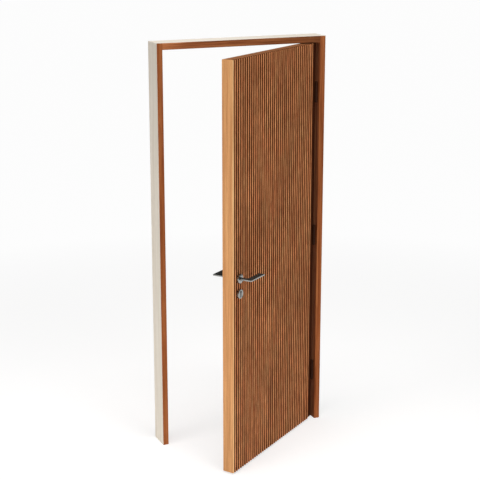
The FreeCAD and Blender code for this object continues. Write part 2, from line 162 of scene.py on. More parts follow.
def sheetWithHoles(xLines, zLines, near, far, kept):
    # two layers of a grid of lines, joined by a side wherever a kept cell meets an open one
    rows, columns = len(zLines), len(xLines)
    level, across = np.meshgrid(zLines, xLines, indexing="ij")
    layers = [np.stack([across, np.full_like(across, y), level], axis=-1) for y in (near, far)]
    index = np.arange(2 * rows * columns).reshape(2, rows, columns)
    i, j = np.nonzero(kept)
    corners = [(0, 0), (0, 1), (1, 1), (1, 0)]
    faces = [np.stack([index[layer, i + di, j + dj] for di, dj in corners], 1) for layer in (0, 1)]
    padded = np.pad(kept, 1)
    for di, dj, first, second in ((-1, 0, (0, 0), (0, 1)), (1, 0, (1, 0), (1, 1)),
                                  (0, -1, (0, 0), (1, 0)), (0, 1, (0, 1), (1, 1))):
        i, j = np.nonzero(kept & ~padded[1 + di:1 + di + kept.shape[0], 1 + dj:1 + dj + kept.shape[1]])
        a = (i + first[0], j + first[1])
        b = (i + second[0], j + second[1])
        faces.append(np.stack([index[0][a], index[0][b], index[1][b], index[1][a]], 1))
    return np.concatenate(layers).reshape(-1, 3), np.concatenate(faces).tolist()


def makePiece(name, shell, body, finishes, stands=(), faceFinish=None):
    # a finished mesh in its place, its faces turned outwards, riding on its body and standing for
    # the nodes named; edges that turn by more than 32 degrees stay sharp
    points, faces = shell
    mesh = bpy.data.meshes.new(name)
    mesh.from_pydata(np.asarray(points).tolist(), [], faces)
    for finishName in finishes:
        mesh.materials.append(materials[finishName])
    if faceFinish is not None:
        mesh.polygons.foreach_set("material_index", np.asarray(faceFinish, np.int32))
    work = bmesh.new()
    work.from_mesh(mesh)
    bmesh.ops.recalc_face_normals(work, faces=work.faces)
    work.to_mesh(mesh)
    work.free()
    mesh.shade_smooth()
    mesh.set_sharp_from_angle(angle=math.radians(32.0))
    piece = bpy.data.objects.new(name, mesh)
    bpy.context.scene.collection.objects.link(piece)
    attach(piece, body)
    if stands:
        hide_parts(*stands)
    return piece


# Shader nodes
def startMaterial(name):
    material = bpy.data.materials.new(name)
    material.use_nodes = True
    material.node_tree.nodes.clear()
    return material, material.node_tree


def addNode(tree, kind, inputs=None, **settings):
    # one shader node; inputs may hold plain numbers or the sockets to link
    node = tree.nodes.new(kind)
    for name, setting in settings.items():
        setattr(node, name, setting)
    for name, given in (inputs or {}).items():
        socket = node.inputs[name]
        if isinstance(given, bpy.types.NodeSocket):
            tree.links.new(given, socket)
        else:
            socket.default_value = given
    return node


def mathNode(tree, operation, first, second=0.0):
    return addNode(tree, "ShaderNodeMath", {0: first, 1: second}, operation=operation).outputs[0]


def rangeNode(tree, value, fromLow, fromHigh, toLow, toHigh):
    return addNode(tree, "ShaderNodeMapRange", {
        "Value": value, "From Min": fromLow, "From Max": fromHigh,
        "To Min": toLow, "To Max": toHigh}).outputs["Result"]


def mixColours(tree, factor, first, second, blend="MIX"):
    node = tree.nodes.new("ShaderNodeMix")
    node.data_type = "RGBA"
    node.blend_type = blend
    for index, given in ((0, factor), (6, first), (7, second)):
        socket = node.inputs[index]
        if isinstance(given, bpy.types.NodeSocket):
            tree.links.new(given, socket)
        else:
            socket.default_value = (*given, 1.0) if isinstance(given, tuple) else given
    return node.outputs[2]


def vectorNode(tree, operation, first, second):
    node = addNode(tree, "ShaderNodeVectorMath", {0: first, 1: second}, operation=operation)
    return node.outputs["Vector"]


def splitNode(tree, vector):
    return addNode(tree, "ShaderNodeSeparateXYZ", {0: vector}).outputs


def objectPlace(tree):
    return addNode(tree, "ShaderNodeTexCoord").outputs["Object"]


def noiseNode(tree, vector, scale, detail, roughness, warp=0.0):
    return addNode(tree, "ShaderNodeTexNoise", {
        "Vector": vector, "Scale": scale, "Detail": detail, "Roughness": roughness,
        "Distortion": warp}).outputs["Fac"]


def spreadNoise(tree, noise, low, high, half=0.2):
    # a noise lies mostly about 0.5; that middle is spread from low to high
    return rangeNode(tree, noise, 0.5 - half, 0.5 + half, low, high)


def rampNode(tree, value, stops):
    node = tree.nodes.new("ShaderNodeValToRGB")
    tree.links.new(value, node.inputs["Fac"])
    ramp = node.color_ramp
    while len(ramp.elements) < len(stops):
        ramp.elements.new(0.5)
    for element, (place, colour) in zip(ramp.elements, stops):
        element.position = place
        element.color = (*colour, 1.0)
    return node.outputs["Color"]


def greyNode(tree, value):
    channels = {"Red": value, "Green": value, "Blue": value}
    return addNode(tree, "ShaderNodeCombineColor", channels).outputs[0]


def seenDirectly(tree, path):
    # 1 for what the camera sees, also in a mirror or through glass, and 0 for light on its way
    seen = mathNode(tree, "MAXIMUM", path["Is Camera Ray"], path["Is Glossy Ray"])
    return mathNode(tree, "MAXIMUM", seen, path["Is Transmission Ray"])


def finishMaterial(tree, inputs):
    shader = addNode(tree, "ShaderNodeBsdfPrincipled", inputs)
    addNode(tree, "ShaderNodeOutputMaterial", {"Surface": shader.outputs[0]})


def placedCoordinates(tree, rides, grain):
    # metres in the shut door's own directions, with the grain along Z
    where = objectPlace(tree)
    if rides == "leaf":
        x, y = leafPlan["hingeLineX"], leafPlan["hingeLineY"]
        c, s = math.cos(openAngle), math.sin(openAngle)
        where = addNode(tree, "ShaderNodeMapping", {
            "Vector": where, "Rotation": (0, 0, -openAngle),
            "Location": (x - (c * x + s * y), y - (-s * x + c * y), 0)}).outputs["Vector"]
    if grain == "X":
        where = addNode(tree, "ShaderNodeMapping", {
            "Vector": where, "Rotation": (0, math.pi / 2, 0)}).outputs["Vector"]
    return where


def placedNormal(tree, rides):
    # which way the surface faces, in the shut door's own directions
    normal = addNode(tree, "ShaderNodeTexCoord").outputs["Normal"]
    if rides == "leaf":
        normal = addNode(tree, "ShaderNodeMapping", {"Vector": normal, "Rotation": (0, 0, -openAngle)},
                         vector_type="VECTOR").outputs["Vector"]
    return [mathNode(tree, "ABSOLUTE", part) for part in splitNode(tree, normal)]


# Wood. Dark, body and pale are the streaks' colours, at the places given in stops, here or in
# woodGrain. Figure is the scale of the rings, and specular is how much the oil shines. A tone ramp
# changes the tone along a board: direction, one place and its tone, another and its tone; on the
# frame's head it is painted light and shade. Rubbed is the colour of worn arrises where it isn't the
# pale one; on the lock edge it is brighter, also a painted highlight.
woodFinish = {
    "frameWood": {
        "rides": "frame", "grain": "Z", "figure": 9.0, "seed": 1.0, "roughness": 0.55, "specular": 0.03,
        "pale": (0.52, 0.182, 0.063), "body": (0.40, 0.122, 0.040), "dark": (0.20, 0.050, 0.016),
        "stops": (0.33, 0.475, 0.64)},
    "frameWoodAcross": {
        "rides": "frame", "grain": "X", "figure": 9.0, "seed": 7.0, "roughness": 0.55, "specular": 0.03,
        "pale": (0.50, 0.190, 0.072), "body": (0.34, 0.112, 0.041), "dark": (0.12, 0.034, 0.013),
        # painted light and shade: the head is lighter at its lock end and darker at its hinge end, above
        # the open leaf
        "stops": (0.37, 0.48, 0.60), "toneRamp": ("X", -0.91, 1.56, 0.0, 0.52)},
    "slatWood": {
        "rides": "leaf", "grain": "Z", "figure": 7.0, "seed": 3.0, "roughness": 0.55, "specular": 0.04,
        "pale": (0.70, 0.338, 0.150), "body": (0.58, 0.252, 0.107), "dark": (0.29, 0.092, 0.034)},
    # painted shade: a very dark wood where the grooves and the recess by the hinge lie in shade
    "recessShadeWood": {
        "rides": "leaf", "grain": "Z", "figure": 6.0, "seed": 11.0, "roughness": 0.65, "specular": 0.02,
        "pale": (0.095, 0.028, 0.011), "body": (0.065, 0.018, 0.007), "dark": (0.030, 0.009, 0.004)},
    "panelWood": {
        "rides": "leaf", "grain": "Z", "figure": 4.0, "seed": 5.0, "roughness": 0.45, "specular": 0.18,
        "pale": (0.44, 0.185, 0.075), "body": (0.32, 0.118, 0.043), "dark": (0.16, 0.050, 0.018)},
    "edgeWood": {
        "rides": "leaf", "grain": "Z", "figure": 5.0, "seed": 9.0, "roughness": 0.50, "specular": 0.08,
        "pale": (0.86, 0.475, 0.205), "body": (0.680, 0.322, 0.132), "dark": (0.55, 0.240, 0.088),
        # the tone ramp leaves the lock edge darker towards its foot
        "rubbedAndLit": (1.0, 0.620, 0.300), "toneRamp": ("Z", 0.0, 0.84, 0.42, 1.0)},
    "railWood": {
        "rides": "leaf", "grain": "X", "figure": 6.0, "seed": 13.0, "roughness": 0.55, "specular": 0.05,
        "pale": (0.38, 0.165, 0.072), "body": (0.28, 0.112, 0.045), "dark": (0.17, 0.058, 0.020)},
    "coreWood": {
        "rides": "leaf", "grain": "Z", "figure": 3.0, "seed": 15.0, "roughness": 0.8, "specular": 0.10,
        "pale": (0.55, 0.42, 0.28), "body": (0.48, 0.34, 0.21), "dark": (0.33, 0.22, 0.12)},
}
# The grain that all of them share. Each noise has its stretch along the grain, scale, detail and
# roughness. A share says how far a mark goes over the colour under it, a tone what it multiplies it by.
woodGrain = {
    "streaks": (0.03, 70.0, 5.0, 0.6),
    "fibres": (0.02, 700.0, 4.0, 0.65),
    "pores": (0.045, 1900.0, 2.0, 0.5),
    "clouds": (0.22, 3.2, 2.0, 0.5),
    "endDots": (1.0, 900.0, 3.0, 0.6),
    "ringStretch": 0.045,
    "ringDetail": 2.5,
    "ringWarp": 0.3,
    "rings": 17.0,             # level lines of the slow noise
    "lateFrom": 0.55,          # where in each ring the dark late wood begins
    "lateShare": 0.42,
    "cloudShare": 0.35,
    "fibreTones": (0.84, 1.14),
    "poreFrom": 0.60,
    "poreTo": 0.72,
    "poreTone": 0.62,
    "stops": (0.28, 0.47, 0.72),
    "rubbedFrom": 0.98,        # how squarely a surface faces one direction
    "rubbedTo": 0.82,
    "rubbedShares": (0.25, 0.9),
    "endShare": 0.4,
    "bumpStrength": 0.35,
    "bumpDepth": 0.0003,
}
slatRow = {
    "pitch": 0.0203,
    "first": leafPlan["lockEdgeX"] + 0.0133,     # left side of the first slat
    "count": 39,
    "width": 0.012,
    "arris": 0.0022,
    "crown": 0.0003,         # the front is bowed by this much
    "endEase": 0.0007,
    "sunkIn": 0.0004,        # how far each slat is let into the backing
    "grooveShadeFrom": 0.0002,     # behind the front, where the painted shade of the grooves begins
    "grooveShadeTo": 0.0014,
    "grooveShade": (0.095, 0.022, 0.007),
    "highlightHalf": 0.0018,     # a painted highlight down the middle of each front, and painted shade on its sides
    "highlightFadeHalf": 0.0054,
    "highlightTint": (1.40, 1.41, 1.38),
    "flankShadeTint": (0.55, 0.39, 0.31),
    "tanTint": (0.97, 1.03, 1.03),         # the veneer's hue wanders between these
    "redTint": (1.06, 0.92, 0.90),
    "ringStretch": 0.14,
    "stripShift": (0.004, 0.004, 0.06),    # how far the figure moves from one slat to the next, at most
    "stripTones": (0.90, 1.10),
    "patches": (0.35, 9.0, 3.0, 0.55),     # these three are noises, as in woodGrain
    "patchTones": (0.84, 1.14),
    "flecks": (0.30, 60.0, 3.0, 0.6),
    "fleckTones": (0.80, 1.20),
    "hues": (0.25, 38.0, 3.0, 0.6),
}
# The frame's outer faces are bare core board, under a veneer this thick on the others
bareBoard = {"veneer": 0.0006, "pale": (0.84, 0.78, 0.69), "dark": (0.74, 0.67, 0.57),
             "hingeSideX": 0.0, "lockSideX": -0.910, "headZ": 2.080}


def makeWood(name, finish):
    material, tree = startMaterial(name)
    isSlats = name == "slatWood"
    placed = placedCoordinates(tree, finish["rides"], finish["grain"])
    where = vectorNode(tree, "ADD", placed, (finish["seed"], finish["seed"] * 0.37, 0))
    if isSlats:
        # neighbouring slats come from one veneer: a number per slat shifts the figure a little, and
        # its tone
        start = slatRow["first"] - (slatRow["pitch"] - slatRow["width"]) / 2
        across = mathNode(tree, "SUBTRACT", splitNode(tree, placed)["X"], start)
        place = mathNode(tree, "DIVIDE", across, slatRow["pitch"])
        along = mathNode(tree, "SUBTRACT", mathNode(tree, "FRACT", place), 0.5)
        fromMiddle = mathNode(tree, "ABSOLUTE", along)
        strip = addNode(tree, "ShaderNodeTexWhiteNoise", {"W": mathNode(tree, "FLOOR", place)},
                        noise_dimensions="1D").outputs
        shift = vectorNode(tree, "MULTIPLY", strip["Color"], slatRow["stripShift"])
        where = vectorNode(tree, "ADD", where, shift)

    def grainNoise(stretch, scale, detail, roughness, warp=0.0):
        drawn = addNode(tree, "ShaderNodeMapping", {"Vector": where, "Scale": (1, 1, stretch)})
        return noiseNode(tree, drawn.outputs["Vector"], scale, detail, roughness, warp)

    # growth rings are the level lines of a slow noise, drawn out along the grain
    stretch = (slatRow if isSlats else woodGrain)["ringStretch"]
    slow = grainNoise(stretch, finish["figure"], woodGrain["ringDetail"], 0.5, woodGrain["ringWarp"])
    rings = mathNode(tree, "FRACT", mathNode(tree, "MULTIPLY", slow, woodGrain["rings"]))
    late = rangeNode(tree, rings, woodGrain["lateFrom"], 1.0, 0.0, 1.0)
    late = mathNode(tree, "MULTIPLY", mathNode(tree, "MULTIPLY", late, late), woodGrain["lateShare"])
    streaks = grainNoise(*woodGrain["streaks"])
    fibres = grainNoise(*woodGrain["fibres"])
    pores = rangeNode(tree, grainNoise(*woodGrain["pores"]), woodGrain["poreFrom"], woodGrain["poreTo"],
                      0.0, 1.0)
    clouds = spreadNoise(tree, grainNoise(*woodGrain["clouds"]), 0.0, 1.0)
    clouds = mathNode(tree, "MULTIPLY", clouds, woodGrain["cloudShare"])

    stops = finish.get("stops", woodGrain["stops"])
    body = rampNode(tree, streaks, list(zip(stops, (finish["dark"], finish["body"], finish["pale"]))))
    body = mixColours(tree, late, body, finish["dark"])
    body = mixColours(tree, clouds, body, finish["body"])
    fibreTone = spreadNoise(tree, fibres, *woodGrain["fibreTones"])
    tones = [rangeNode(tree, pores, 0.0, 1.0, 1.0, woodGrain["poreTone"])]
    if isSlats:
        tones.append(rangeNode(tree, strip["Value"], 0.0, 1.0, *slatRow["stripTones"]))
        tones.append(spreadNoise(tree, grainNoise(*slatRow["patches"]), *slatRow["patchTones"]))
        tones.append(spreadNoise(tree, grainNoise(*slatRow["flecks"]), *slatRow["fleckTones"], half=0.15))
    # a tone ramp along the board; on the frame's head it is painted light and shade
    if "toneRamp" in finish:
        axis, fromPlace, fromTone, toPlace, toTone = finish["toneRamp"]
        spot = splitNode(tree, objectPlace(tree))[axis]
        tones.append(rangeNode(tree, spot, fromPlace, toPlace, fromTone, toTone))
    shade = fibreTone
    for tone in tones:
        shade = mathNode(tree, "MULTIPLY", shade, tone)
    body = mixColours(tree, 1.0, body, greyNode(tree, shade), "MULTIPLY")
    if isSlats:
        redness = spreadNoise(tree, grainNoise(*slatRow["hues"]), 0.0, 1.0, half=0.15)
        hue = mixColours(tree, redness, slatRow["tanTint"], slatRow["redTint"])
        body = mixColours(tree, 1.0, body, hue, "MULTIPLY")

    # hands and knocks leave the eased arrises paler, where the surface faces between two directions;
    # on the lock edge its brighter colour is also a painted highlight
    facing = placedNormal(tree, finish["rides"])
    squarely = mathNode(tree, "MAXIMUM", facing[0], mathNode(tree, "MAXIMUM", facing[1], facing[2]))
    arris = rangeNode(tree, squarely, woodGrain["rubbedFrom"], woodGrain["rubbedTo"], 0.0, 1.0)
    worn = spreadNoise(tree, streaks, *woodGrain["rubbedShares"], half=0.15)
    body = mixColours(tree, mathNode(tree, "MULTIPLY", arris, worn), body,
                      finish.get("rubbedAndLit", finish["pale"]))
    if isSlats:
        # a painted highlight on each crest, painted shade on its flanks and in the grooves from just
        # behind the front
        crestHighlight = rangeNode(tree, fromMiddle, slatRow["highlightHalf"] / slatRow["pitch"],
                          slatRow["highlightFadeHalf"] / slatRow["pitch"], 1.0, 0.0)
        lightAndShade = mixColours(tree, crestHighlight, slatRow["flankShadeTint"], slatRow["highlightTint"])
        body = mixColours(tree, 1.0, body, lightAndShade, "MULTIPLY")
        # painted shade: the slats' sides darken from just behind the front, standing for the grooves'
        # shade
        front = leafPlan["slatFront"]
        grooveShaded = rangeNode(tree, splitNode(tree, placed)["Y"], front + slatRow["grooveShadeFrom"],
                            front + slatRow["grooveShadeTo"], 0.0, 1.0)
        groove = mixColours(tree, 1.0, slatRow["grooveShade"], greyNode(tree, fibreTone), "MULTIPLY")
        body = mixColours(tree, grooveShaded, body, groove)

    # end grain is darker and drinks the oil
    if finish["grain"] == "Z":
        ends = rangeNode(tree, facing[2], 0.85, 0.97, 0.0, woodGrain["endShare"])
        dots = grainNoise(*woodGrain["endDots"])
        body = mixColours(tree, ends, body,
                          rampNode(tree, dots, [(0.35, finish["dark"]), (0.65, finish["body"])]))

    # no veneer on the frame's outer faces
    if finish["rides"] == "frame":
        spot, skin = splitNode(tree, objectPlace(tree)), bareBoard["veneer"]
        sides = (("GREATER_THAN", "X", bareBoard["hingeSideX"] - skin),
                 ("LESS_THAN", "X", bareBoard["lockSideX"] + skin),
                 ("GREATER_THAN", "Z", bareBoard["headZ"] - skin))
        bare = 0.0
        for test, axis, limit in sides:
            bare = mathNode(tree, "MAXIMUM", bare, mathNode(tree, test, spot[axis], limit))
        board = rampNode(tree, streaks, [(0.30, bareBoard["dark"]), (0.62, bareBoard["pale"])])
        body = mixColours(tree, bare, body, board)

    roughness = spreadNoise(tree, fibres, finish["roughness"] - 0.05, finish["roughness"] + 0.10)
    height = mathNode(tree, "SUBTRACT", mathNode(tree, "MULTIPLY", fibres, 0.5), pores)
    bump = addNode(tree, "ShaderNodeBump", {"Height": height, "Strength": woodGrain["bumpStrength"],
                                            "Distance": woodGrain["bumpDepth"]})
    finishMaterial(tree, {"Base Color": body, "Roughness": roughness, "Normal": bump.outputs["Normal"],
                          "Specular IOR Level": finish["specular"]})
    return material


# Metal. Smudges go from the colour to the dull one, and the brushed lines are drawn out along X.
metalFinish = {
    "handleSteel": {"colour": (0.41, 0.41, 0.390), "dull": (0.31, 0.31, 0.294), "roughness": 0.20,
                    "metallic": 1.0},
    "lockSteel": {"colour": (0.16, 0.16, 0.150), "dull": (0.10, 0.10, 0.094), "roughness": 0.32,
                  "metallic": 1.0},
    # painted reflection: a dark, barely metallic finish for the levers' level top and underside, where
    # steel would mirror the dark above
    "leverDarkReflection": {"colour": (0.026, 0.031, 0.031), "dull": (0.038, 0.043, 0.043), "roughness": 0.55,
                   "metallic": 0.05},
    "hingeBronze": {"colour": (0.062, 0.022, 0.011), "dull": (0.044, 0.016, 0.008), "roughness": 0.58,
                    "metallic": 0.10, "specular": 0.10},
}
metalGrain = {"smudgeScale": 60.0, "smudgeRoughness": 0.10, "brushScale": 3500.0, "brushStretch": 0.05,
              "brushRoughness": 0.05, "bumpStrength": 0.15, "bumpDepth": 0.00005}


def makeMetal(name, finish, rides):
    g = metalGrain
    material, tree = startMaterial(name)
    where = placedCoordinates(tree, rides, "Z")
    smudges = noiseNode(tree, where, g["smudgeScale"], 5.0, 0.6)
    lines = addNode(tree, "ShaderNodeMapping", {"Vector": where, "Scale": (g["brushStretch"], 1, 1)})
    brushed = noiseNode(tree, lines.outputs["Vector"], g["brushScale"], 3.0, 0.6)
    colour = mixColours(tree, rangeNode(tree, smudges, 0.35, 0.7, 0.0, 1.0), finish["colour"],
                        finish["dull"])
    smeared = spreadNoise(tree, smudges, 0.0, g["smudgeRoughness"])
    scored = spreadNoise(tree, brushed, finish["roughness"] - g["brushRoughness"],
                         finish["roughness"] + g["brushRoughness"])
    bump = addNode(tree, "ShaderNodeBump", {"Height": brushed, "Strength": g["bumpStrength"],
                                            "Distance": g["bumpDepth"]})
    finishMaterial(tree, {
        "Base Color": colour, "Roughness": mathNode(tree, "ADD", smeared, scored),
        "Normal": bump.outputs["Normal"], "Metallic": finish["metallic"],
        "Specular IOR Level": finish.get("specular", 0.5)})
    return material


# Rubber of the seals, with a pale bloom
sealFinish = {"colour": (0.030, 0.016, 0.011), "worn": (0.055, 0.033, 0.024), "roughness": 0.7,
              "specular": 0.1, "bloomScale": 45.0, "pitScale": 2600.0, "bumpStrength": 0.3,
              "bumpDepth": 0.0001}


def makeSealRubber():
    s = sealFinish
    material, tree = startMaterial("sealRubber")
    where = placedCoordinates(tree, "frame", "Z")
    bloom = noiseNode(tree, where, s["bloomScale"], 5.0, 0.65)
    pits = noiseNode(tree, where, s["pitScale"], 2.0, 0.5)
    colour = mixColours(tree, rangeNode(tree, bloom, 0.4, 0.75, 0.0, 1.0), s["colour"], s["worn"])
    bump = addNode(tree, "ShaderNodeBump", {"Height": pits, "Strength": s["bumpStrength"],
                                            "Distance": s["bumpDepth"]})
    finishMaterial(tree, {"Base Color": colour, "Roughness": s["roughness"],
                          "Normal": bump.outputs["Normal"], "Specular IOR Level": s["specular"]})
    return material


materials = {name: makeWood(name, finish) for name, finish in woodFinish.items()}
for name, finish in metalFinish.items():
    materials[name] = makeMetal(name, finish, "leaf")
materials["sealRubber"] = makeSealRubber()
print("materials:", len(materials))

# What each piece that comes from the CAD model is finished with
nodeFinish = {
    "jamb_hinge_side": "frameWood", "jamb_lock_side": "frameWood", "frame_head": "frameWoodAcross",
    "stop_hinge_side": "frameWood", "stop_lock_side": "frameWood", "stop_head": "frameWoodAcross",
    "seal_hinge_side": "sealRubber", "seal_lock_side": "sealRubber", "seal_head": "sealRubber",
    "door_core": "coreWood", "slatted_front": "recessShadeWood", "back_panel": "panelWood",
    "lock_edge": "edgeWood", "hinge_edge": "recessShadeWood", "top_edge": "railWood",
    "bottom_edge": "railWood", "rose_front": "handleSteel", "rose_back": "handleSteel",
    "keyhole_rose_front": "handleSteel", "keyhole_rose_back": "handleSteel",
    "lock_cylinder": "lockSteel", "lever_front": "handleSteel", "lever_back": "handleSteel",
    "spindle": "lockSteel",
}
for place in ("bottom", "middle", "top"):
    for part in ("jamb_plate", "door_plate", "pin"):
        nodeFinish[f"hinge_{place}_{part}"] = "hingeBronze"
for nodeName, finishName in nodeFinish.items():
    mesh = nodes[nodeName].data
    mesh.materials.clear()
    mesh.materials.append(materials[finishName])
print("carried-over pieces dressed:", len(nodeFinish))

# Room behind the roses for the spindle and the lock cylinder
lockRoom = {"spindleHalf": 0.009, "cylinderHalfWidth": 0.0095, "cylinderHalfHeight": 0.0167}


def makeBacking():
    # the thin board that carries the slats, its very dark colour painted shade where it shows in the
    # grooves
    x, z, half = leafPlan["handleX"], leafPlan["handleZ"], lockRoom["spindleHalf"]
    wide, tall = lockRoom["cylinderHalfWidth"], lockRoom["cylinderHalfHeight"]
    keyZ = leafPlan["keyholeZ"]
    xLines = [leafPlan["lockEdgeX"] + leafPlan["lockEdgeWidth"], x - wide, x + wide,
              leafPlan["hingeEdgeX"] - leafPlan["hingeEdgeWidth"]]
    zLines = [leafPlan["bottom"], keyZ - tall, keyZ + tall, z - half, z + half, leafPlan["top"]]
    kept = np.ones((len(zLines) - 1, len(xLines) - 1), bool)
    kept[1, 1] = False         # round the lock cylinder
    kept[3, 1] = False         # round the spindle
    points, faces = sheetWithHoles(xLines, zLines, leafPlan["backingFront"], leafPlan["coreFront"], kept)
    return makePiece("slat_backing", (turnWithLeaf(points), faces), "leaf",
                     ["recessShadeWood"], ["slatted_front"])


def slatOutline():
    # seen from above: two rounded front arrises and a front bowed as crown (2 x / width)^2
    half = slatRow["width"] / 2
    arris = slatRow["arris"]
    front = leafPlan["slatFront"]
    back = leafPlan["backingFront"] + slatRow["sunkIn"]
    angle = np.linspace(0, math.pi / 2, 5)
    cornerY = front + slatRow["crown"] + arris
    left = np.stack([-half + arris - arris * np.cos(angle), cornerY - arris * np.sin(angle)], axis=1)
    right = (left * [-1, 1])[::-1]
    x = np.linspace(-half + arris, half - arris, 7)[1:-1]
    bow = np.stack([x, front + slatRow["crown"] * (x / (half - arris)) ** 2], axis=1)
    return np.concatenate([[(-half, back)], left, bow, right, [(half, back)]])


def makeSlats():
    # the outline carried up Z for each slat; those that cross the handles stop short of the lock's
    # bores behind the roses
    section = slatOutline()
    z, keyZ = leafPlan["handleZ"], leafPlan["keyholeZ"]
    tall, half = lockRoom["cylinderHalfHeight"], lockRoom["spindleHalf"]
    whole = [(leafPlan["bottom"], leafPlan["top"])]
    cut = [(leafPlan["bottom"], keyZ - tall), (keyZ + tall, z - half), (z + half, leafPlan["top"])]
    shells = []
    for number in range(slatRow["count"]):
        middle = slatRow["first"] + slatRow["width"] / 2 + number * slatRow["pitch"]
        crosses = abs(middle - leafPlan["handleX"]) < slatRow["width"]
        for low, high in cut if crosses else whole:
            shells.append(roundedSlab(section + [middle, 0], low, high, slatRow["endEase"], 2))
    points, faces = joinShells(shells)
    return makePiece("front_slats", (turnWithLeaf(points), faces), "leaf", ["slatWood"],
                     ["slatted_front"])


# Arrises in the order of the corners: inner front, inner rear, rear, and both ends of the chamfer
lockEdgeBoard = {"chamfer": 0.004, "bevel": 0.0027, "endEase": 0.0006,
                 "arrises": (0.0003, 0.0002, 0.0012, 0.0012, 0.0004)}


def makeLockEdge():
    # five corners seen from above, each rounded, and the outline carried up Z with eased ends
    x, front, rear = leafPlan["lockEdgeX"], leafPlan["slatFront"], leafPlan["leafRear"]
    inner, s = x + leafPlan["lockEdgeWidth"], lockEdgeBoard
    corners = [(inner, front), (inner, rear), (x + s["bevel"], rear), (x, front + s["chamfer"]),
               (x + s["chamfer"], front)]
    outline = roundedOutline(corners, s["arrises"], 4)
    points, faces = roundedSlab(outline, leafPlan["bottom"], leafPlan["top"], s["endEase"])
    return makePiece("lock_edge_board", (turnWithLeaf(points), faces), "leaf", ["edgeWood"],
                     ["lock_edge"])


leverShape = {
    "thickness": 0.007, "neckWidth": 0.024, "neckStart": 0.015, "reach": 0.076, "gripWidth": 0.032,
    "gripLength": 0.118, "bend": 0.014, "outerCorner": 0.0020, "foot": 0.0005, "edgeRadius": 0.0009,
    "journalRadius": 0.008, "journalFrom": 0.002, "journalTo": 0.018, "journalEase": 0.0006,
    "journalSteps": 48,
}


def makeLever(name, face, outwards, node):
    # an L seen from above, each corner an arc, carried up Z with rounded edges: a flat grip square
    # to its neck, on a round journal in the rose
    s = leverShape
    x = leafPlan["handleX"]
    left, right, tip = x - s["neckWidth"] / 2, x + s["neckWidth"] / 2, x + s["gripLength"]
    start, reach = face + outwards * s["neckStart"], face + outwards * s["reach"]
    inner = face + outwards * (s["reach"] - s["gripWidth"])
    corners = [(left, start), (left, reach), (tip, reach), (tip, inner), (right, inner), (right, start)]
    corner = s["outerCorner"]
    outline = roundedOutline(corners, [s["foot"], corner, corner, corner, s["bend"], s["foot"]], 8)
    low = leafPlan["handleZ"] - s["thickness"] / 2
    plate = roundedSlab(outline, low, low + s["thickness"], s["edgeRadius"], 4)
    r, ease = s["journalRadius"], s["journalEase"]
    profile = [(r - ease, s["journalFrom"]), (r, s["journalFrom"] + ease), (r, s["journalTo"] - ease),
               (r - ease * 0.3, s["journalTo"] - ease * 0.3), (r - ease, s["journalTo"])]
    journal = turnedPin(profile, s["journalSteps"], x, leafPlan["handleZ"], face, outwards)
    points, faces = joinShells([plate, journal])
    dark = np.zeros(len(faces), np.int32)
    dark[len(plate[1]) - 2:len(plate[1])] = 1     # the level top and underside get a painted dark reflection; the edges stay bright
    return makePiece(name, (turnWithLeaf(points), faces), "handle",
                     ["handleSteel", "leverDarkReflection"], [node], faceFinish=dark)


roseShape = {"radius": 0.023, "thickness": 0.012, "rim": 0.0018, "bore": 0.0081, "boreEase": 0.0004,
             "steps": 96}
cylinderHole = {"radius": 0.0087, "webHalf": 0.0052, "topCentre": 0.008, "bottom": -0.0167}


def roseProfile():
    # (share of the way out, offset, depth) round the ring: back, rounded rim, face, bore
    s = roseShape
    rim, ease = s["rim"], s["boreEase"]
    rounded = [(1, -rim * (1 - math.cos(a)), s["thickness"] - rim * (1 - math.sin(a)))
               for a in np.linspace(0, math.pi / 2, 6)]
    return [(0, 0, 0), (1, 0, 0)] + rounded + [(0, ease, s["thickness"]), (0, 0, s["thickness"] - ease)]


def keyholeRadius(angles):
    # how far the lock cylinder's outline lies from the rose's middle, by the angle: the circle
    # t sin a + sqrt(r^2 - t^2 cos^2 a) or the web, whichever is further
    c, s = np.cos(angles), np.sin(angles)
    h = cylinderHole
    circle = h["topCentre"] * s + np.sqrt(h["radius"] ** 2 - (h["topCentre"] * c) ** 2)
    tiny = 1e-9                # keeps the divisions finite
    side = h["webHalf"] / np.maximum(np.abs(c), tiny)
    end = np.where(s > 0, h["topCentre"], -h["bottom"]) / np.maximum(np.abs(s), tiny)
    return np.maximum(circle, np.minimum(side, end))


# How far the rings are let into the backing, and how far they stay behind the rose
roseSeat = {"radius": 0.0222, "bore": 0.0182, "sunkIn": 0.0004, "clear": 0.0002}


def makeRoseSeats():
    # a square profile turned about each axis: a ring of very dark wood in the grooves behind each
    # front rose, so that it sits on a flat bed; its dark colour is painted shade
    s, steps = roseSeat, roseShape["steps"]
    angles = np.arange(steps) * 2 * math.pi / steps
    deep = leafPlan["slatFront"] - leafPlan["backingFront"] - s["sunkIn"]
    profile = [(0, 0, deep), (1, 0, deep), (1, 0, -s["clear"]), (0, 0, -s["clear"])]
    for name, z in (("rose_seat", leafPlan["handleZ"]), ("keyhole_seat", leafPlan["keyholeZ"])):
        points, faces = turnedRing(profile, np.full(steps, s["bore"]), s["radius"], angles,
                                   leafPlan["handleX"], z, leafPlan["slatFront"], -1)
        makePiece(name, (turnWithLeaf(points), faces), "leaf", ["recessShadeWood"])


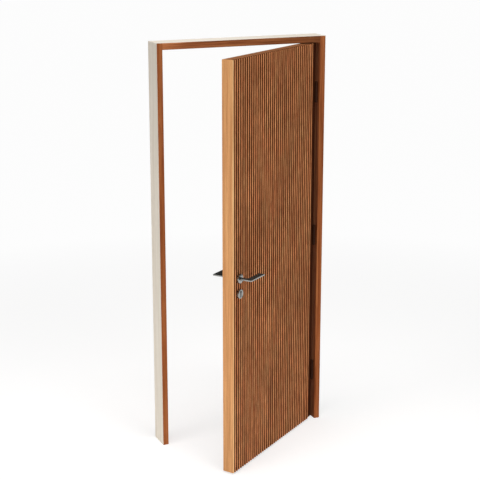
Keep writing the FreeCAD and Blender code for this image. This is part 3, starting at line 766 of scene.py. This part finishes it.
def makeRoses():
    # the rose's profile turned about each axis, round a bore or round the cylinder's outline
    steps = roseShape["steps"]
    for side, face, outwards in (("front", leafPlan["slatFront"], -1), ("back", leafPlan["leafRear"], 1)):
        angles = np.arange(steps) * 2 * math.pi / steps
        bore = np.full_like(angles, roseShape["bore"])
        points, faces = turnedRing(roseProfile(), bore, roseShape["radius"], angles, leafPlan["handleX"],
                                   leafPlan["handleZ"], face, outwards)
        makePiece(f"lever_rose_{side}", (turnWithLeaf(points), faces), "leaf",
                  ["handleSteel"], [f"rose_{side}"])
        webCorner = math.atan2(cylinderHole["bottom"], cylinderHole["webHalf"])
        angles = np.sort(np.append(angles, [webCorner % (2 * math.pi), math.pi - webCorner]))
        points, faces = turnedRing(roseProfile(), keyholeRadius(angles), roseShape["radius"], angles,
                                   leafPlan["handleX"], leafPlan["keyholeZ"], face, outwards)
        makePiece(f"keyhole_cover_{side}", (turnWithLeaf(points), faces), "leaf",
                  ["handleSteel"], [f"keyhole_rose_{side}"])


# Places are from the knuckle and from the foot of the plate
hingeScrews = {
    "places": [(0.013, 0.010), (0.027, 0.036), (0.027, 0.064), (0.013, 0.090)],
    "knuckleSideY": -0.030,
    "jambFaceX": -0.030, "doorFaceX": -0.035,
    "radius": 0.0040, "sunk": 0.0002, "proud": 0.0005, "shoulder": 0.72, "crossRadius": 0.0017,
    "crossWave": 0.45, "crossFloor": 0.8, "crossDepth": 0.0004, "steps": 32,
}


def screwHead():
    # a low dome with a cross recess: p(r, a) = (r cos a, r sin a), with a height for each ring; the
    # recess has r = cross radius (1 + wave cos 4 a)
    s, steps = hingeScrews, hingeScrews["steps"]
    angle = np.arange(steps) * 2 * math.pi / steps
    level, cross = np.ones(steps), s["crossRadius"] * (1 + s["crossWave"] * np.cos(4 * angle))
    rings = [(s["radius"] * level, -s["sunk"]), (s["radius"] * level, s["proud"] * 0.4),
             (s["radius"] * s["shoulder"] * level, s["proud"]), (cross, s["proud"]),
             (cross * s["crossFloor"], s["proud"] - s["crossDepth"])]
    points = [np.stack([r * np.cos(angle), r * np.sin(angle), rise * level], axis=1) for r, rise in rings]
    return np.concatenate(points), cappedFaces(len(rings), steps)


def makeHingeScrews():
    # four heads on each plate; those on the leaf turn with it
    head, headFaces = screwHead()
    s = hingeScrews
    plates = (("jamb", s["jambFaceX"], -1, "frame"), ("door", s["doorFaceX"], 1, "leaf"))
    for place in ("bottom", "middle", "top"):
        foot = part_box(f"hinge_{place}_jamb_plate")[0].z
        for part, faceX, outwards, body in plates:
            shells = []
            for across, rise in s["places"]:
                x = faceX + outwards * head[:, 2]
                y = s["knuckleSideY"] + across + head[:, 0]
                z = foot + rise + head[:, 1]
                shells.append((np.stack([x, y, z], axis=1), headFaces))
            points, faces = joinShells(shells)
            if body == "leaf":
                points = turnWithLeaf(points)
            makePiece(f"hinge_{place}_{part}_screws", (points, faces), body,
                      ["hingeBronze"])


makeBacking()
makeSlats()
makeLockEdge()
makeLever("lever_front_grip", leafPlan["slatFront"], -1, "lever_front")
makeLever("lever_back_grip", leafPlan["leafRear"], 1, "lever_back")
makeRoseSeats()
makeRoses()
makeHingeScrews()
print("slats, lock edge, levers, roses and screws made")

# What the camera sees of the floor: its own glow, and the share of lamp light that makes shadows
floorLook = {"halfSize": 30.0, "colour": 0.88, "glowNear": 0.60, "glowFar": 0.97, "shownNear": 0.56,
             "shownFar": 0.03, "near": 1.1, "far": 4.4, "middle": (-0.45, -0.30, 0.0)}


def makeFloor():
    # one square; both shares fade with the distance from the door
    reach = floorLook["halfSize"]
    mesh = bpy.data.meshes.new("studioFloor")
    corners = [(-reach, -reach, 0), (reach, -reach, 0), (reach, reach, 0), (-reach, reach, 0)]
    mesh.from_pydata(corners, [], [(0, 1, 2, 3)])
    floor = bpy.data.objects.new("studioFloor", mesh)
    bpy.context.scene.collection.objects.link(floor)
    material, tree = startMaterial("floorWhite")
    seen = seenDirectly(tree, addNode(tree, "ShaderNodeLightPath").outputs)
    offset = vectorNode(tree, "SUBTRACT", objectPlace(tree), floorLook["middle"])
    away = addNode(tree, "ShaderNodeVectorMath", {0: offset}, operation="LENGTH").outputs["Value"]
    fade = rangeNode(tree, away, floorLook["near"], floorLook["far"], 0.0, 1.0)
    shown = rangeNode(tree, fade, 0.0, 1.0, floorLook["shownNear"], floorLook["shownFar"])
    strength = rangeNode(tree, fade, 0.0, 1.0, floorLook["glowNear"], floorLook["glowFar"])
    plain = addNode(tree, "ShaderNodeBsdfDiffuse", {"Color": (*[floorLook["colour"]] * 3, 1.0)})
    pale = addNode(tree, "ShaderNodeBsdfDiffuse", {"Color": greyNode(tree, shown)})
    glow = addNode(tree, "ShaderNodeEmission", {"Color": (1, 1, 1, 1), "Strength": strength})
    both = addNode(tree, "ShaderNodeAddShader", {0: pale.outputs[0], 1: glow.outputs[0]})
    mixed = addNode(tree, "ShaderNodeMixShader", {0: seen, 1: plain.outputs[0], 2: both.outputs[0]})
    addNode(tree, "ShaderNodeOutputMaterial", {"Surface": mixed.outputs[0]})
    material.cycles.emission_sampling = "NONE"
    mesh.materials.append(material)
    return floor


# Lamps by the direction they shine from: degrees round from +X, degrees up, metres away. A level of 1
# on a surface turned to the lamp takes pi^2 d^2 watts, less where a grid narrows the spread to 2 h
# degrees: times 1 - h / tan h.
studioLight = {
    "skyLevel": 0.25,
    "aim": (-0.60, -0.25, 0.2),
    "lamps": {
        "keyLamp": {"round": 195.0, "up": 14.0, "away": 8.0, "level": 0.64, "wide": 4.6, "tall": 2.4,
                    "spread": 60.0, "colour": (1.0, 0.97, 0.93)},
        "frontLamp": {"round": -78.0, "up": 12.0, "away": 7.5, "level": 0.45, "wide": 3.6, "tall": 2.0,
                      "spread": 60.0, "colour": (1.0, 0.985, 0.97)},
        "topLamp": {"round": 250.0, "up": 84.0, "away": 6.0, "level": 0.50, "wide": 2.0, "tall": 2.0,
                    "spread": 120.0, "colour": (1.0, 0.99, 0.98)},
    },
    "ceilingFrom": 0.02, "ceilingTo": 0.14, "ceiling": 0.025,     # in metal, by the sine of the height
}


def aimAt(thing, target):
    # turn what looks along -Z towards the target
    dx, dy, dz = (t - p for t, p in zip(target, thing.location))
    thing.rotation_euler = (math.atan2(math.hypot(dx, dy), -dz), 0.0, math.atan2(-dx, dy))


def makeLamp(name, lampLook):
    # a rectangle of light that neither the camera nor the metal sees
    lamp = bpy.data.lights.new(name, "AREA")
    half = math.radians(lampLook["spread"] / 2)
    lamp.energy = lampLook["level"] * (math.pi * lampLook["away"]) ** 2 * (1 - half / math.tan(half))
    lamp.shape = "RECTANGLE"
    lamp.size, lamp.size_y = lampLook["wide"], lampLook["tall"]
    lamp.spread = math.radians(lampLook["spread"])
    lamp.color = lampLook["colour"]
    thing = bpy.data.objects.new(name, lamp)
    turned, up = math.radians(lampLook["round"]), math.radians(lampLook["up"])
    direction = (math.cos(turned) * math.cos(up), math.sin(turned) * math.cos(up), math.sin(up))
    thing.location = [a + lampLook["away"] * d for a, d in zip(studioLight["aim"], direction)]
    aimAt(thing, studioLight["aim"])
    thing.visible_camera = False
    thing.visible_glossy = False
    bpy.context.scene.collection.objects.link(thing)
    return thing


def makeWorld():
    # plain light all round; seen as white, with a dark ceiling high up that only metal shows
    world = bpy.data.worlds.new("paleStudio")
    bpy.context.scene.world = world
    world.use_nodes = True
    tree = world.node_tree
    tree.nodes.clear()
    path = addNode(tree, "ShaderNodeLightPath").outputs
    seen = seenDirectly(tree, path)
    up = splitNode(tree, addNode(tree, "ShaderNodeTexCoord").outputs["Generated"])["Z"]
    ceiling = rangeNode(tree, up, studioLight["ceilingFrom"], studioLight["ceilingTo"], 1.0,
                        studioLight["ceiling"])
    fade = mathNode(tree, "MAXIMUM", ceiling, path["Is Camera Ray"])
    sky = addNode(tree, "ShaderNodeBackground", {"Color": (1, 1, 1, 1),
                                                 "Strength": studioLight["skyLevel"]})
    shown = addNode(tree, "ShaderNodeBackground", {"Color": greyNode(tree, fade), "Strength": 1.0})
    mixed = addNode(tree, "ShaderNodeMixShader", {0: seen, 1: sky.outputs[0], 2: shown.outputs[0]})
    addNode(tree, "ShaderNodeOutputWorld", {"Surface": mixed.outputs[0]})


# Where the photograph was taken from: place in metres, turn to the right and tilt down in degrees,
# lens and sensor in millimetres
camera = {"place": (-2.994, -5.788, 2.743), "turnRight": 23.750, "tiltDown": 15.06, "lens": 94.8,
          "sensor": 36.0}


def makeCamera():
    # level with the horizon, then tilted and turned
    data = bpy.data.cameras.new("photoCamera")
    data.sensor_width = camera["sensor"]
    data.lens = camera["lens"]
    data.clip_end = 200.0      # past the floor's far side
    thing = bpy.data.objects.new("photoCamera", data)
    thing.location = camera["place"]
    tilt, turn = 90.0 - camera["tiltDown"], -camera["turnRight"]
    thing.rotation_euler = (math.radians(tilt), 0.0, math.radians(turn))
    bpy.context.scene.collection.objects.link(thing)
    bpy.context.scene.camera = thing


makeFloor()
makeWorld()
for lampName, lampLook in studioLight["lamps"].items():
    makeLamp(lampName, lampLook)
makeCamera()
bpy.context.scene.view_settings.view_transform = "Standard"
print("floor, lamps and camera placed")
